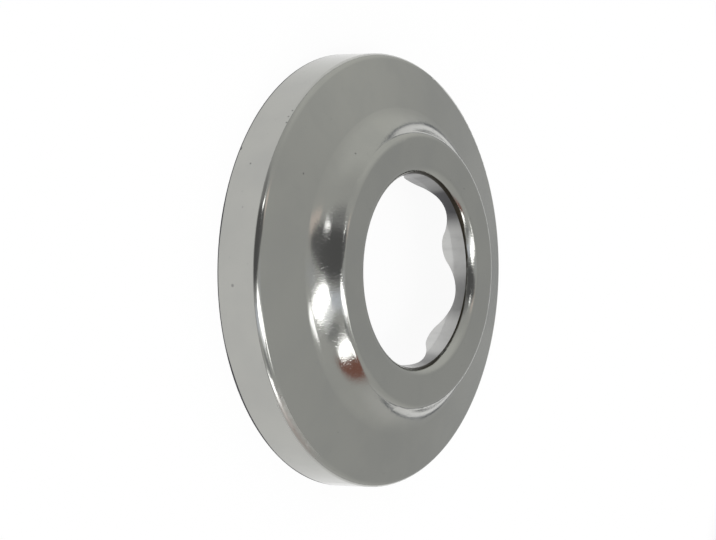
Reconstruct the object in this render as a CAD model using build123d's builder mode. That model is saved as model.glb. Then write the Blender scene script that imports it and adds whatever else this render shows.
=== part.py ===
from build123d import *
from math import asin, degrees, hypot, radians, sin, tan
import os

# Pipe rosette: one drawn sheet-metal cover ring that hides the hole where a pipe enters a wall.
# The origin is the centre of the rim that meets the wall; +Z runs along the pipe, away from the wall.

# Pipe and grip: the lobe ends pinch the pipe lightly all round.
pipe_diameter = 26.9
pinch = 0.05
sheet = 0.5

# Skirt: the outer wall, open towards the wall, drawn with a little draft.
rim_diameter = 62.0
skirt_height = 6.15
skirt_draft = 2.4

# Face and neck: a shallow cone that sweeps up in a hollow curve to the flat top ring.
face_slope = 15.0
neck_diameter = 38.5
neck_rise = 2.85
neck_slope = 63.0
cove_share = 0.98

# Grip flange: the hole's edge, turned back towards the wall as a slight funnel that ends in lobes.
mouth_lead = 0.45
lead_depth = 3.4
flange_depth = 5.05
lobe_count = 6
lobe_height = 2.3
lobe_curve = 3.2

# Outside radii of the pressed bends.
rim_bend = 1.0
neck_bend = 1.2
mouth_bend = 1.5
land_bend = 1.5

# Length left past a finished edge until that edge is trimmed.
trim_spare = 0.5

grip_radius = pipe_diameter / 2 - pinch
rim_radius = rim_diameter / 2
face_edge_radius = rim_radius - skirt_height * tan(radians(skirt_draft))
neck_radius = neck_diameter / 2
neck_foot_radius = neck_radius + neck_rise / tan(radians(neck_slope))
neck_foot_height = skirt_height + (face_edge_radius - neck_foot_radius) * tan(radians(face_slope))
top_height = neck_foot_height + neck_rise
mouth_radius = grip_radius + mouth_lead

# The hollow curve takes nearly all of the neck's wall that the bend above it leaves.
neck_wall = hypot(neck_rise, neck_foot_radius - neck_radius)
neck_bend_run = neck_bend * tan(radians(neck_slope / 2))
cove_run = (neck_wall - neck_bend_run) * cove_share
cove_radius = cove_run / tan(radians((neck_slope - face_slope) / 2))

# Lobes: half the chord between two tips, and the valley arc that meets both tip arcs.
lobe_half_angle = 180 / lobe_count
half_pitch = grip_radius * sin(radians(lobe_half_angle))
notch_half_width = (grip_radius + 2 * sheet) * sin(radians(lobe_half_angle))
arc_sum = (half_pitch**2 + lobe_height**2) / (2 * lobe_height)
valley_curve = arc_sum - lobe_curve
lobe_swing = degrees(asin(half_pitch / arc_sum))


def skin_corners():
    """Corners of the outer skin from below the rim, over face and neck, down to the flange's end."""
    below_rim = (rim_radius + trim_spare * tan(radians(skirt_draft)), -trim_spare)
    face_edge = (face_edge_radius, skirt_height)
    neck_foot = (neck_foot_radius, neck_foot_height)
    neck_top = (neck_radius, top_height)
    mouth = (mouth_radius, top_height)
    land_start = (grip_radius, top_height - lead_depth)
    flange_end = (grip_radius, top_height - flange_depth - trim_spare)
    return [below_rim, face_edge, neck_foot, neck_top, mouth, land_start, flange_end]


# One notch between two lobes, cut outward from the pipe's axis: a wide valley arc between the
# halves of two tip arcs, all tangent, with flat ends that overlap the next notches.
with BuildPart() as notch:
    with BuildSketch(Plane.YZ) as notch_outline:
        with BuildLine():
            tip_height = top_height - flange_depth
            start_flat = Line((-notch_half_width, tip_height), (-half_pitch, tip_height))
            tip_up = JernArc(start_flat @ 1, start_flat % 1, lobe_curve, lobe_swing)
            valley = JernArc(tip_up @ 1, tip_up % 1, valley_curve, -2 * lobe_swing)
            tip_down = JernArc(valley @ 1, valley % 1, lobe_curve, lobe_swing)
            end_flat = Line(tip_down @ 1, (notch_half_width, tip_height))
            Polyline(
                end_flat @ 1,
                (notch_half_width, tip_height - 2 * trim_spare),
                (-notch_half_width, tip_height - 2 * trim_spare),
                start_flat @ 0,
            )
        make_face()
    extrude(amount=mouth_radius + 2 * sheet)

# The whole rosette: a constant-thickness section turned about the pipe's axis, the rim trimmed
# flat, and the flange's edge notched into lobes.
with BuildPart() as rosette:
    with BuildSketch(Plane.XZ) as section:
        with BuildLine():
            bends = (rim_bend, cove_radius, neck_bend, mouth_bend, land_bend)
            skin = FilletPolyline(*skin_corners(), radius=bends)
            offset(skin, amount=sheet, side=Side.LEFT)
        make_face()
    revolve(axis=Axis.Z)
    split(bisect_by=Plane.XY, keep=Keep.TOP)
    with PolarLocations(0, lobe_count, start_angle=lobe_half_angle):
        add(notch.part, mode=Mode.SUBTRACT)

rosette.part.label = "rosette"
os.makedirs("parts", exist_ok=True)
export_step(rosette.part, "parts/rosette.step")
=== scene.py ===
import math

import bpy
from mathutils import Matrix, Vector

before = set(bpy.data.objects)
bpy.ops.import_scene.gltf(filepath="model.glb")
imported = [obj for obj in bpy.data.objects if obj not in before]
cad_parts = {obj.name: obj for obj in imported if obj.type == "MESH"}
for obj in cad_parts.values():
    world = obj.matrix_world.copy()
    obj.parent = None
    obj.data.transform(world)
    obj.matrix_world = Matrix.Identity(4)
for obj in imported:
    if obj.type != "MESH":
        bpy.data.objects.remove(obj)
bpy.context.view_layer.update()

MILLIMETRE = 0.001

# Camera, in metres and degrees. The rosette lies on its rim and is seen from 35 degrees above the
# floor; the picture is turned so that the rosette's axis points to the right.
CAMERA_AZIMUTH = 285.49
CAMERA_REACH = 0.2008
CAMERA_HEIGHT = 0.1414
CAMERA_AIM = Vector((0.0, 0.0, 0.0005))
CAMERA_TURN = 90.66
NEAREST_SEEN = 0.01
FOCAL_PIXELS = 1700.0
PICTURE_WIDTH = 716
PICTURE_HEIGHT = 540
SENSOR_WIDTH = 36.0

# Light tent. A corner is a direction: azimuth from the tent's open front, and elevation, in degrees.
TENT_FRONT = 285.0
TENT_CLOTH = (0.62, 0.624, 0.61, 1.0)
BACK_CLOTH = (0.53, 0.535, 0.53, 1.0)
BACK_PANEL = [(147, -8), (-155, -8), (-155, 62), (147, 62)]
LEFT_CLOTH = (0.77, 0.775, 0.75, 1.0)
LEFT_PANEL = [(-148, -8), (-82, -8), (-82, 46), (-148, 46)]
RIGHT_CLOTH = (0.7, 0.7, 0.69, 1.0)
RIGHT_PANEL = [(100, -8), (136, -8), (136, 22), (100, 22)]

# The tent's open front is dark, and a dark slit runs from it over the left side to the back. Above
# the slit are a pale crown and a patch of warm light.
FRONT_EDGE_SHADE = (0.36, 0.36, 0.365, 1.0)
FRONT_EDGE = [(-50, 60), (-48, 6), (15, 6), (13, 45), (8, 60)]
OPENING_SHADE = (0.15, 0.15, 0.153, 1.0)
OPENING = [(-38, 55), (-29, 6), (8, 6), (7, 58), (0, 70), (-10, 72)]
SLIT_SHADE = (0.18, 0.18, 0.185, 1.0)
SLIT = [(-172, 67), (-48, 61), (-34, 45), (5, 50), (0, 67), (-176, 67)]
CROWN_LIGHT = (0.62, 0.63, 0.65, 1.0)
CROWN = [(-178, 72), (-20, 84), (30, 76), (60, 80), (150, 80)]
WARM_LIGHT = (0.98, 0.86, 0.8, 1.0)
WARM_PATCH = [(-151.5, 67.5), (-77.5, 67.5), (-80, 73), (-150, 74)]

# Lamps, and their glow on the cloth.
LAMP_WHITE = (4.0, 4.0, 4.05, 1.0)
MAIN_LAMP = [(12, 58), (14, 47), (25, 38.5), (66, 66.5), (105, 74.5), (141, 75.5)]
SIDE_LAMP = [(49.5, 9), (57.5, 28), (64, 36.5), (72, 41.5), (77, 39.5), (65, 9)]
SMALL_LAMP = [(-50, 59.5), (-45, 61), (-36, 51), (-35.5, 45), (-43, 51.5)]
TAIL_LIGHT = (3.2, 3.2, 3.25, 1.0)
LAMP_TAIL = [(151, 74.5), (134, 75), (120, 68.5), (131, 67), (150, 69)]
GLOW_LIGHT = (1.4, 1.42, 1.47, 1.0)
MAIN_GLOW = [(12, 60), (16, 40), (27, 22), (45, 44), (66, 61), (60, 75)]
STREAK_LIGHT = (0.92, 0.96, 1.06, 1.0)
STREAK = [(18, 6), (18, 45), (30, 45), (31, 6)]

# What is dim between and beside the lamps: cloth, a red-brown board, and two gaps near the floor.
DUSK_SHADE = (0.36, 0.365, 0.37, 1.0)
BETWEEN_LAMPS = [(89, 65), (66, 58), (44, 44), (42, 10), (49, 10), (58, 35), (86, 47)]
BOARD_HAZE = (0.5, 0.44, 0.42, 1.0)
BOARD_SIDE = [(68, -4), (76, 44), (92, 52), (97, 40), (92, -4)]
BOARD_SHADE = (0.32, 0.145, 0.11, 1.0)
BOARD_EDGE = [(67, 0), (78.5, 38.5), (83, 44), (90, 44), (89.5, 24), (86, 0)]
GAP_SHADE = (0.18, 0.185, 0.2, 1.0)
GAP_LEFT = [(-163, 4), (-157, 4), (-147, -3), (-156, -3)]
GAP_RIGHT = [(150, -3), (166, -3), (163, 3), (157, 3)]

# The tent from its cloth up. Each panel lies over those before it: its corners, its colour, and how
# softly its edge fades, as the sine of an angle.
TENT_PANELS = [
    (BACK_PANEL, BACK_CLOTH, 0.2),
    (LEFT_PANEL, LEFT_CLOTH, 0.25),
    (RIGHT_PANEL, RIGHT_CLOTH, 0.2),
    (FRONT_EDGE, FRONT_EDGE_SHADE, 0.12),
    (SLIT, SLIT_SHADE, 0.035),
    (OPENING, OPENING_SHADE, 0.07),
    (CROWN, CROWN_LIGHT, 0.06),
    (WARM_PATCH, WARM_LIGHT, 0.02),
    (MAIN_GLOW, GLOW_LIGHT, 0.07),
    (STREAK, STREAK_LIGHT, 0.06),
    (BETWEEN_LAMPS, DUSK_SHADE, 0.05),
    (BOARD_SIDE, BOARD_HAZE, 0.05),
    (BOARD_EDGE, BOARD_SHADE, 0.02),
    (GAP_LEFT, GAP_SHADE, 0.015),
    (GAP_RIGHT, GAP_SHADE, 0.015),
    (LAMP_TAIL, TAIL_LIGHT, 0.025),
    (MAIN_LAMP, LAMP_WHITE, 0.02),
    (SIDE_LAMP, LAMP_WHITE, 0.02),
    (SMALL_LAMP, LAMP_WHITE, 0.015),
]

# Floor: white round the rosette, and grey further out.
FLOOR_HALF = 3.0
FLOOR_WHITE_REACH = 0.136
FLOOR_GREY_REACH = 0.17
FLOOR_WHITE = (1.0, 1.0, 1.0, 1.0)
FLOOR_GREY = (0.25, 0.26, 0.28, 1.0)
PAPER_TINT = (0.8, 0.8, 0.8)
PAPER_GLOW = 1.04
BACKGROUND_SHARE = 0.9

# Bright sheet: polished outside, left as drawn inside, with painted shade in the mouth's bend, where
# the polish stops.
POLISHED = (0.42, 0.421, 0.397, 1.0)
POLISHED_DULL = (0.4, 0.402, 0.382, 1.0)
AS_DRAWN = (0.6, 0.6, 0.59, 1.0)
# The dark of the drawn lines, and the painted shade between the lobes and on one side of the hole's
# wall.
AS_DRAWN_LINES_AND_SHADE = (0.1, 0.1, 0.105, 1.0)
# Painted shade in the mouth's bend.
MOUTH_SHADE = (0.045, 0.04, 0.03, 1.0)
# The dark of the marks and pits, and of the rim's cut edge, where it also paints contact shadow.
FLAWS_AND_EDGE_SHADOW = (0.07, 0.07, 0.075, 1.0)
POLISHED_ROUGHNESS = 0.1
SATIN_ROUGHNESS = 0.15
DRAWN_ROUGHNESS = 0.32
STAINED_ROUGHNESS = 0.45
SCUFFED_ROUGHNESS = 0.38

# Cloudy patterns, in clouds per metre, and the values between which each one shows.
RIM_WAVES = 55.0
RIM_WAVE_SPAN = (0.4, 0.7)
POLISH_CLOUDS = 140.0
POLISH_SPAN = (0.35, 0.7)
MOUTH_SHADE_CLOUDS = 260.0
MOUTH_SHADE_SPAN = (0.35, 0.65)
DRAWN_LINES = 420.0
DRAWN_LINE_SPAN = (0.45, 0.75)
DRAWN_LINE_STRETCH = (1.0, 1.0, 0.3)
PEEL = 700.0
PITS = 1900.0
PIT_SPAN = (0.735, 0.77)
GLINTS = 3400.0
GLINT_SPAN = (0.6, 0.75)
GRAIN = 6500.0
GRAIN_SPAN = (0.4, 0.7)

# The inside is left as drawn: what faces the rosette's axis (1 is straight at it), and what faces
# down.
WALL_FACING = (0.96, 0.99)
UNDERSIDE_FACING = (-0.1, -0.3)

# Painted shade lies in the mouth's bend, where the sheet faces the axis more than RING_START and
# less than on the wall. The first start holds on the side where the shade is thin, and the second on
# the others.
RING_START = (0.955, 0.82)
RING_WAVER = (-0.02, 0.02)
RING_EDGE = (-0.03, 0.03)
RING_END_FACING = (0.995, 0.975)
THIN_SHADE_SIDE = (0.087, 0.996, 0.0)
THIN_SHADE_SPAN = (0.85, 0.5)
MOUTH_RADIUS = 14.7 * MILLIMETRE
MOUTH_FADE = 0.2 * MILLIMETRE

# The hole's wall has painted shade between two lobes and on one side, with faint drawn lines.
LOBE_COUNT = 6.0
LOBE_VALLEY_SPAN = (0.5, -1.0)
LOBE_VALLEY_SHADE = 0.6
DRAWN_LINES_DULL = 0.15
SHADED_SIDE = (-0.985, -0.174, 0.0)
SHADED_SIDE_SPAN = (0.4, 0.9)
SHADED_SIDE_DARKENING = 0.6

# The rim's cut edge, with painted contact shadow along it, wider here and there.
EDGE_AND_SHADOW_HEIGHT = 0.16 * MILLIMETRE
EDGE_AND_SHADOW_WIDEST = 2.0
EDGE_AND_SHADOW_FADE = 0.3

# Marks on the sheet: pixels of the photograph, size, and how dark.
FACE_SPECKS = [(292, 110), (288, 116), (286, 122), (355, 153), (303, 173), (250, 163)]
SPECK_SIZE = 0.2 * MILLIMETRE
SPECK_STRENGTH = 0.5
SKIRT_NICK = [(240, 148)]
NICK_SIZE = 0.35 * MILLIMETRE
NICK_STRENGTH = 0.8
SKIRT_STAIN = [(232, 285)]
STAIN_SIZE = 0.3 * MILLIMETRE
STAIN_STRENGTH = 0.4
PIT_STRENGTH = 0.35
MARK_CORE = 0.4

# One place on the rim's bend is scuffed. The scuff fades out on the skirt and on the face.
SCUFFED_BEND = [(296, 431)]
SCUFF_SIZE = 9.0 * MILLIMETRE
SCUFF_SKIRT_FACING = (0.1, 0.25)
SCUFF_FACE_FACING = (0.955, 0.9)
SCUFF_RADII = (27.0 * MILLIMETRE, 29.5 * MILLIMETRE)

# Unevenness of the surface. Grain and glints lie within the neck's foot, where the drawing
# stretched the sheet.
PEEL_DEPTH = 0.003 * MILLIMETRE
GRAIN_DEPTH = 0.0018 * MILLIMETRE
GLINT_DEPTH = 0.0035 * MILLIMETRE
STRETCHED_RADII = (23.0 * MILLIMETRE, 21.5 * MILLIMETRE)


def direction(azimuth, elevation):
    """Unit vector towards a part of the tent."""
    turn = math.radians(TENT_FRONT + azimuth)
    rise = math.radians(elevation)
    level = math.cos(rise)
    return Vector((math.cos(turn) * level, math.sin(turn) * level, math.sin(rise)))


def new_node(tree, kind, **values):
    """A node with its plain properties set."""
    node = tree.nodes.new(kind)
    for name, value in values.items():
        setattr(node, name, value)
    return node


def feed(tree, socket, value):
    """Give a socket a link where the value is another node's output, and else the value itself."""
    if isinstance(value, bpy.types.NodeSocket):
        tree.links.new(value, socket)
    else:
        socket.default_value = value


def maths(tree, operation, first, second=0.0, clamp=False):
    """One Math node."""
    node = new_node(tree, "ShaderNodeMath", operation=operation, use_clamp=clamp)
    feed(tree, node.inputs[0], first)
    feed(tree, node.inputs[1], second)
    return node.outputs["Value"]


def vector_maths(tree, operation, first, second=(0.0, 0.0, 0.0)):
    """The outputs of one Vector Math node."""
    node = new_node(tree, "ShaderNodeVectorMath", operation=operation)
    feed(tree, node.inputs[0], first)
    feed(tree, node.inputs[1], second)
    return node.outputs


def split_axes(tree, vector):
    """The X, Y and Z outputs of a vector."""
    node = new_node(tree, "ShaderNodeSeparateXYZ")
    feed(tree, node.inputs["Vector"], vector)
    return node.outputs


def ramp(tree, value, low, high, start=0.0, end=1.0):
    """A smooth step from start to end while the value goes from low to high."""
    node = new_node(tree, "ShaderNodeMapRange", interpolation_type="SMOOTHSTEP")
    feed(tree, node.inputs["Value"], value)
    feed(tree, node.inputs["From Min"], low)
    feed(tree, node.inputs["From Max"], high)
    feed(tree, node.inputs["To Min"], start)
    feed(tree, node.inputs["To Max"], end)
    return node.outputs["Result"]


def blend_colour(tree, mask, below, above):
    """The colour above laid over the one below, where the mask is white."""
    node = new_node(tree, "ShaderNodeMix", data_type="RGBA")
    feed(tree, node.inputs[0], mask)
    colours = [socket for socket in node.inputs if socket.type == "RGBA"]
    feed(tree, colours[0], below)
    feed(tree, colours[1], above)
    return next(socket for socket in node.outputs if socket.type == "RGBA")


def blend_value(tree, mask, below, above):
    """The value above in place of the one below, where the mask is white."""
    node = new_node(tree, "ShaderNodeMix", data_type="FLOAT")
    feed(tree, node.inputs[0], mask)
    feed(tree, node.inputs[2], below)
    feed(tree, node.inputs[3], above)
    return node.outputs[0]


def mottle(tree, place, scale, detail=3.0, roughness=0.55):
    """A cloudy value about 0.5, in clouds of 1/scale metres."""
    cloud = new_node(tree, "ShaderNodeTexNoise")
    feed(tree, cloud.inputs["Vector"], place)
    feed(tree, cloud.inputs["Scale"], scale)
    feed(tree, cloud.inputs["Detail"], detail)
    feed(tree, cloud.inputs["Roughness"], roughness)
    return cloud.outputs["Fac"]


def towards(tree, ray, side):
    """How closely a ray points towards a side, from -1 to 1."""
    return vector_maths(tree, "DOT_PRODUCT", ray, side)["Value"]


def raised(tree, height, depth, below=None):
    """The normal of a surface with small heights on it, over another normal where one is given."""
    bump = new_node(tree, "ShaderNodeBump")
    feed(tree, bump.inputs["Distance"], depth)
    feed(tree, bump.inputs["Height"], height)
    if below is not None:
        feed(tree, bump.inputs["Normal"], below)
    return bump.outputs["Normal"]


def set_camera():
    """The photograph's camera, turned about its line of sight."""
    data = bpy.data.cameras.new("camera")
    data.sensor_width = SENSOR_WIDTH
    data.lens = FOCAL_PIXELS / PICTURE_WIDTH * SENSOR_WIDTH
    data.clip_start = NEAREST_SEEN
    camera = bpy.data.objects.new("camera", data)
    turn = math.radians(CAMERA_AZIMUTH)
    place = Vector((CAMERA_REACH * math.cos(turn), CAMERA_REACH * math.sin(turn), CAMERA_HEIGHT))
    sight = (CAMERA_AIM - place).to_track_quat("-Z", "Y").to_matrix().to_4x4()
    roll = Matrix.Rotation(math.radians(CAMERA_TURN), 4, "Z")
    camera.matrix_world = Matrix.Translation(place) @ sight @ roll
    bpy.context.scene.collection.objects.link(camera)
    bpy.context.scene.camera = camera


def panel_mask(tree, sight, corners, softness):
    """White inside a panel of the tent whose corners are directions, with a soft edge."""
    rays = [direction(*corner) for corner in corners]
    middle = sum(rays, Vector()).normalized()
    mask = None
    for here, there in zip(rays, rays[1:] + rays[:1]):
        inward = here.cross(there).normalized()
        if inward.dot(middle) < 0:
            inward.negate()
        inside = ramp(tree, towards(tree, sight, inward), -softness, softness)
        mask = inside if mask is None else maths(tree, "MULTIPLY", mask, inside)
    return mask


def set_tent():
    """A grey light tent, dark where it opens to the camera, with its lamps shining in."""
    world = bpy.data.worlds.new("light tent")
    world.use_nodes = True
    bpy.context.scene.world = world
    tree = world.node_tree
    tree.nodes.clear()
    sight = new_node(tree, "ShaderNodeTexCoord").outputs["Generated"]
    colour = TENT_CLOTH
    for corners, shade, softness in TENT_PANELS:
        mask = panel_mask(tree, sight, corners, softness)
        colour = blend_colour(tree, mask, colour, shade)
    tent = new_node(tree, "ShaderNodeBackground")
    feed(tree, tent.inputs["Color"], colour)
    out = new_node(tree, "ShaderNodeOutputWorld")
    feed(tree, out.inputs["Surface"], tent.outputs["Background"])


def floor_paper():
    """Paper that the camera and the metal see white, and that takes a faint shadow."""
    paper = bpy.data.materials.new("floor paper")
    paper.use_nodes = True
    tree = paper.node_tree
    tree.nodes.clear()
    place = new_node(tree, "ShaderNodeTexCoord").outputs["Object"]
    reach = vector_maths(tree, "LENGTH", place)["Value"]
    away = ramp(tree, reach, FLOOR_WHITE_REACH, FLOOR_GREY_REACH)
    shade = blend_colour(tree, away, FLOOR_WHITE, FLOOR_GREY)
    lit = new_node(tree, "ShaderNodeBsdfDiffuse")
    feed(tree, lit.inputs["Color"], vector_maths(tree, "MULTIPLY", shade, PAPER_TINT)["Vector"])
    white = new_node(tree, "ShaderNodeEmission")
    feed(tree, white.inputs["Color"], shade)
    feed(tree, white.inputs["Strength"], PAPER_GLOW)
    light = new_node(tree, "ShaderNodeLightPath").outputs
    seen = maths(tree, "ADD", light["Is Camera Ray"], light["Is Glossy Ray"], True)
    seen = maths(tree, "ADD", seen, light["Is Transmission Ray"], True)
    mix = new_node(tree, "ShaderNodeMixShader")
    feed(tree, mix.inputs[0], maths(tree, "MULTIPLY", seen, BACKGROUND_SHARE))
    feed(tree, mix.inputs[1], lit.outputs[0])
    feed(tree, mix.inputs[2], white.outputs[0])
    out = new_node(tree, "ShaderNodeOutputMaterial")
    feed(tree, out.inputs["Surface"], mix.outputs[0])
    return paper


def set_floor():
    """The wide flat floor that the rosette lies on."""
    mesh = bpy.data.meshes.new("floor")
    half = FLOOR_HALF
    corners = [(-half, -half, 0), (half, -half, 0), (half, half, 0), (-half, half, 0)]
    mesh.from_pydata(corners, [], [(0, 1, 2, 3)])
    floor = bpy.data.objects.new("floor", mesh)
    bpy.context.scene.collection.objects.link(floor)
    floor.data.materials.append(floor_paper())


def sheet_point(rosette, pixel):
    """The point of the sheet that a pixel of the photograph shows."""
    camera = bpy.context.scene.camera
    across = (pixel[0] + 0.5 - PICTURE_WIDTH / 2) / FOCAL_PIXELS
    down = (pixel[1] + 0.5 - PICTURE_HEIGHT / 2) / FOCAL_PIXELS
    ray = camera.matrix_world.to_3x3() @ Vector((across, -down, -1.0))
    hit, point, _normal, _face = rosette.ray_cast(camera.matrix_world.translation, ray.normalized())
    if not hit:
        raise ValueError("a mark's pixel is not on the rosette")
    return point


def marks_mask(tree, place, rosette, pixels, size):
    """White in small round spots at some pixels of the photograph."""
    mask = None
    for pixel in pixels:
        gap = vector_maths(tree, "DISTANCE", place, sheet_point(rosette, pixel))["Value"]
        spot = ramp(tree, gap, size, size * MARK_CORE)
        mask = spot if mask is None else maths(tree, "MAXIMUM", mask, spot)
    return mask


def mouth_shade_ring(tree, place, outward, inward, radius):
    """White in the mouth's bend, where shade is painted; thinner on one side."""
    thin_side = towards(tree, outward, THIN_SHADE_SIDE)
    patchy = mottle(tree, place, MOUTH_SHADE_CLOUDS)
    # The painted shade's band starts later on one side, so it is thinner there.
    start = ramp(tree, thin_side, *THIN_SHADE_SPAN, *RING_START)
    start = maths(tree, "ADD", start, ramp(tree, patchy, *MOUTH_SHADE_SPAN, *RING_WAVER))
    shade_ring = ramp(tree, maths(tree, "SUBTRACT", inward, start), *RING_EDGE)
    shade_ring = maths(tree, "MULTIPLY", shade_ring, ramp(tree, inward, *RING_END_FACING))
    near_hole = ramp(tree, radius, MOUTH_RADIUS + MOUTH_FADE, MOUTH_RADIUS)
    return maths(tree, "MULTIPLY", shade_ring, near_hole)


def drawn_colour_with_shade(tree, place, at, outward):
    """The inside as drawn, with faint drawn lines, and painted shade between the lobes and on one
    side.
    """
    swing = maths(tree, "ARCTAN2", at["Y"], at["X"])
    wave = maths(tree, "COSINE", maths(tree, "MULTIPLY", swing, LOBE_COUNT))
    # Painted shade between the lobes.
    lines_and_shade = maths(tree, "MULTIPLY", ramp(tree, wave, *LOBE_VALLEY_SPAN), LOBE_VALLEY_SHADE)
    streaks = vector_maths(tree, "MULTIPLY", place, DRAWN_LINE_STRETCH)["Vector"]
    lines = ramp(tree, mottle(tree, streaks, DRAWN_LINES), *DRAWN_LINE_SPAN, 0.0, DRAWN_LINES_DULL)
    lines_and_shade = maths(tree, "ADD", lines_and_shade, lines, True)
    # Painted shade on one side of the hole's wall.
    side = towards(tree, outward, SHADED_SIDE)
    side = ramp(tree, side, *SHADED_SIDE_SPAN, 0.0, SHADED_SIDE_DARKENING)
    lines_and_shade = maths(tree, "ADD", lines_and_shade, side, True)
    return blend_colour(tree, lines_and_shade, AS_DRAWN, AS_DRAWN_LINES_AND_SHADE)


def flaws_and_shadow_mask(tree, place, height, rosette):
    """The rim's cut edge with its painted contact shadow, the small marks that the photograph shows,
    and scattered pits.
    """
    wave = mottle(tree, place, RIM_WAVES, 1.0)
    # The cut edge's band at the floor carries painted contact shadow.
    edge = ramp(tree, wave, *RIM_WAVE_SPAN, EDGE_AND_SHADOW_HEIGHT, EDGE_AND_SHADOW_HEIGHT * EDGE_AND_SHADOW_WIDEST)
    edge = maths(tree, "SUBTRACT", edge, height)
    flaws_and_shadow = ramp(tree, edge, 0.0, EDGE_AND_SHADOW_HEIGHT * EDGE_AND_SHADOW_FADE)
    marks = [
        (FACE_SPECKS, SPECK_SIZE, SPECK_STRENGTH),
        (SKIRT_NICK, NICK_SIZE, NICK_STRENGTH),
        (SKIRT_STAIN, STAIN_SIZE, STAIN_STRENGTH),
    ]
    for pixels, size, strength in marks:
        mark = marks_mask(tree, place, rosette, pixels, size)
        flaws_and_shadow = maths(tree, "MAXIMUM", flaws_and_shadow, maths(tree, "MULTIPLY", mark, strength))
    pits = ramp(tree, mottle(tree, place, PITS, 2.0), *PIT_SPAN)
    return maths(tree, "MAXIMUM", flaws_and_shadow, maths(tree, "MULTIPLY", pits, PIT_STRENGTH))


def scuff_mask(tree, place, facing_up, radius, rosette):
    """White on one place of the rim's bend."""
    scuff = marks_mask(tree, place, rosette, SCUFFED_BEND, SCUFF_SIZE)
    scuff = maths(tree, "MULTIPLY", scuff, ramp(tree, facing_up, *SCUFF_SKIRT_FACING))
    scuff = maths(tree, "MULTIPLY", scuff, ramp(tree, facing_up, *SCUFF_FACE_FACING))
    return maths(tree, "MULTIPLY", scuff, ramp(tree, radius, *SCUFF_RADII))


def fine_relief(tree, place, radius):
    """The surface's normal: a slight peel, with grain and glints where the sheet was stretched."""
    stretched = ramp(tree, radius, *STRETCHED_RADII)
    grain = ramp(tree, mottle(tree, place, GRAIN, 1.0), *GRAIN_SPAN)
    glints = ramp(tree, mottle(tree, place, GLINTS, 0.0), *GLINT_SPAN)
    normal = raised(tree, mottle(tree, place, PEEL, 1.0), PEEL_DEPTH)
    normal = raised(tree, maths(tree, "MULTIPLY", grain, stretched), GRAIN_DEPTH, normal)
    return raised(tree, maths(tree, "MULTIPLY", glints, stretched), GLINT_DEPTH, normal)


def polished_sheet(rosette):
    """Bright plating: polished outside, dull inside the mouth, with grain, specks and painted shade.
    """
    sheet = bpy.data.materials.new("bright plated sheet")
    sheet.use_nodes = True
    tree = sheet.node_tree
    shader = tree.nodes["Principled BSDF"]
    feed(tree, shader.inputs["Metallic"], 1.0)
    place = new_node(tree, "ShaderNodeTexCoord").outputs["Object"]
    normal = new_node(tree, "ShaderNodeNewGeometry").outputs["Normal"]
    at = split_axes(tree, place)
    facing_up = split_axes(tree, normal)["Z"]

    # The distance from the rosette's axis, and how far the surface faces that axis, from -1 to 1.
    across = vector_maths(tree, "MULTIPLY", place, (1.0, 1.0, 0.0))["Vector"]
    radius = vector_maths(tree, "LENGTH", across)["Value"]
    outward = vector_maths(tree, "NORMALIZE", across)["Vector"]
    inward = maths(tree, "MULTIPLY", towards(tree, normal, outward), -1.0)

    # Inside: the hole's wall below the mouth's bend, and every face turned down.
    wall = ramp(tree, inward, *WALL_FACING)
    inside = maths(tree, "MAXIMUM", wall, ramp(tree, facing_up, *UNDERSIDE_FACING), True)
    shade_ring = mouth_shade_ring(tree, place, outward, inward, radius)
    clouds = mottle(tree, place, POLISH_CLOUDS)
    flaws_and_shadow = flaws_and_shadow_mask(tree, place, at["Z"], rosette)

    polished = blend_colour(tree, ramp(tree, clouds, *POLISH_SPAN), POLISHED, POLISHED_DULL)
    colour = blend_colour(tree, inside, polished, drawn_colour_with_shade(tree, place, at, outward))
    # Painted shade in the mouth's bend.
    colour = blend_colour(tree, shade_ring, colour, MOUTH_SHADE)
    feed(tree, shader.inputs["Base Color"], blend_colour(tree, flaws_and_shadow, colour, FLAWS_AND_EDGE_SHADOW))

    rough = ramp(tree, clouds, *POLISH_SPAN, POLISHED_ROUGHNESS, SATIN_ROUGHNESS)
    rough = blend_value(tree, inside, rough, DRAWN_ROUGHNESS)
    rough = blend_value(tree, maths(tree, "MAXIMUM", flaws_and_shadow, shade_ring), rough, STAINED_ROUGHNESS)
    scuff = scuff_mask(tree, place, facing_up, radius, rosette)
    rough = blend_value(tree, scuff, rough, SCUFFED_ROUGHNESS)
    feed(tree, shader.inputs["Roughness"], rough)

    feed(tree, shader.inputs["Normal"], fine_relief(tree, place, radius))
    return sheet


set_camera()
set_tent()
set_floor()
bpy.context.view_layer.update()
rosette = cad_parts["rosette"]
finish = polished_sheet(rosette)
rosette.data.materials.clear()
rosette.data.materials.append(finish)

bpy.context.scene.view_settings.view_transform = "Standard"
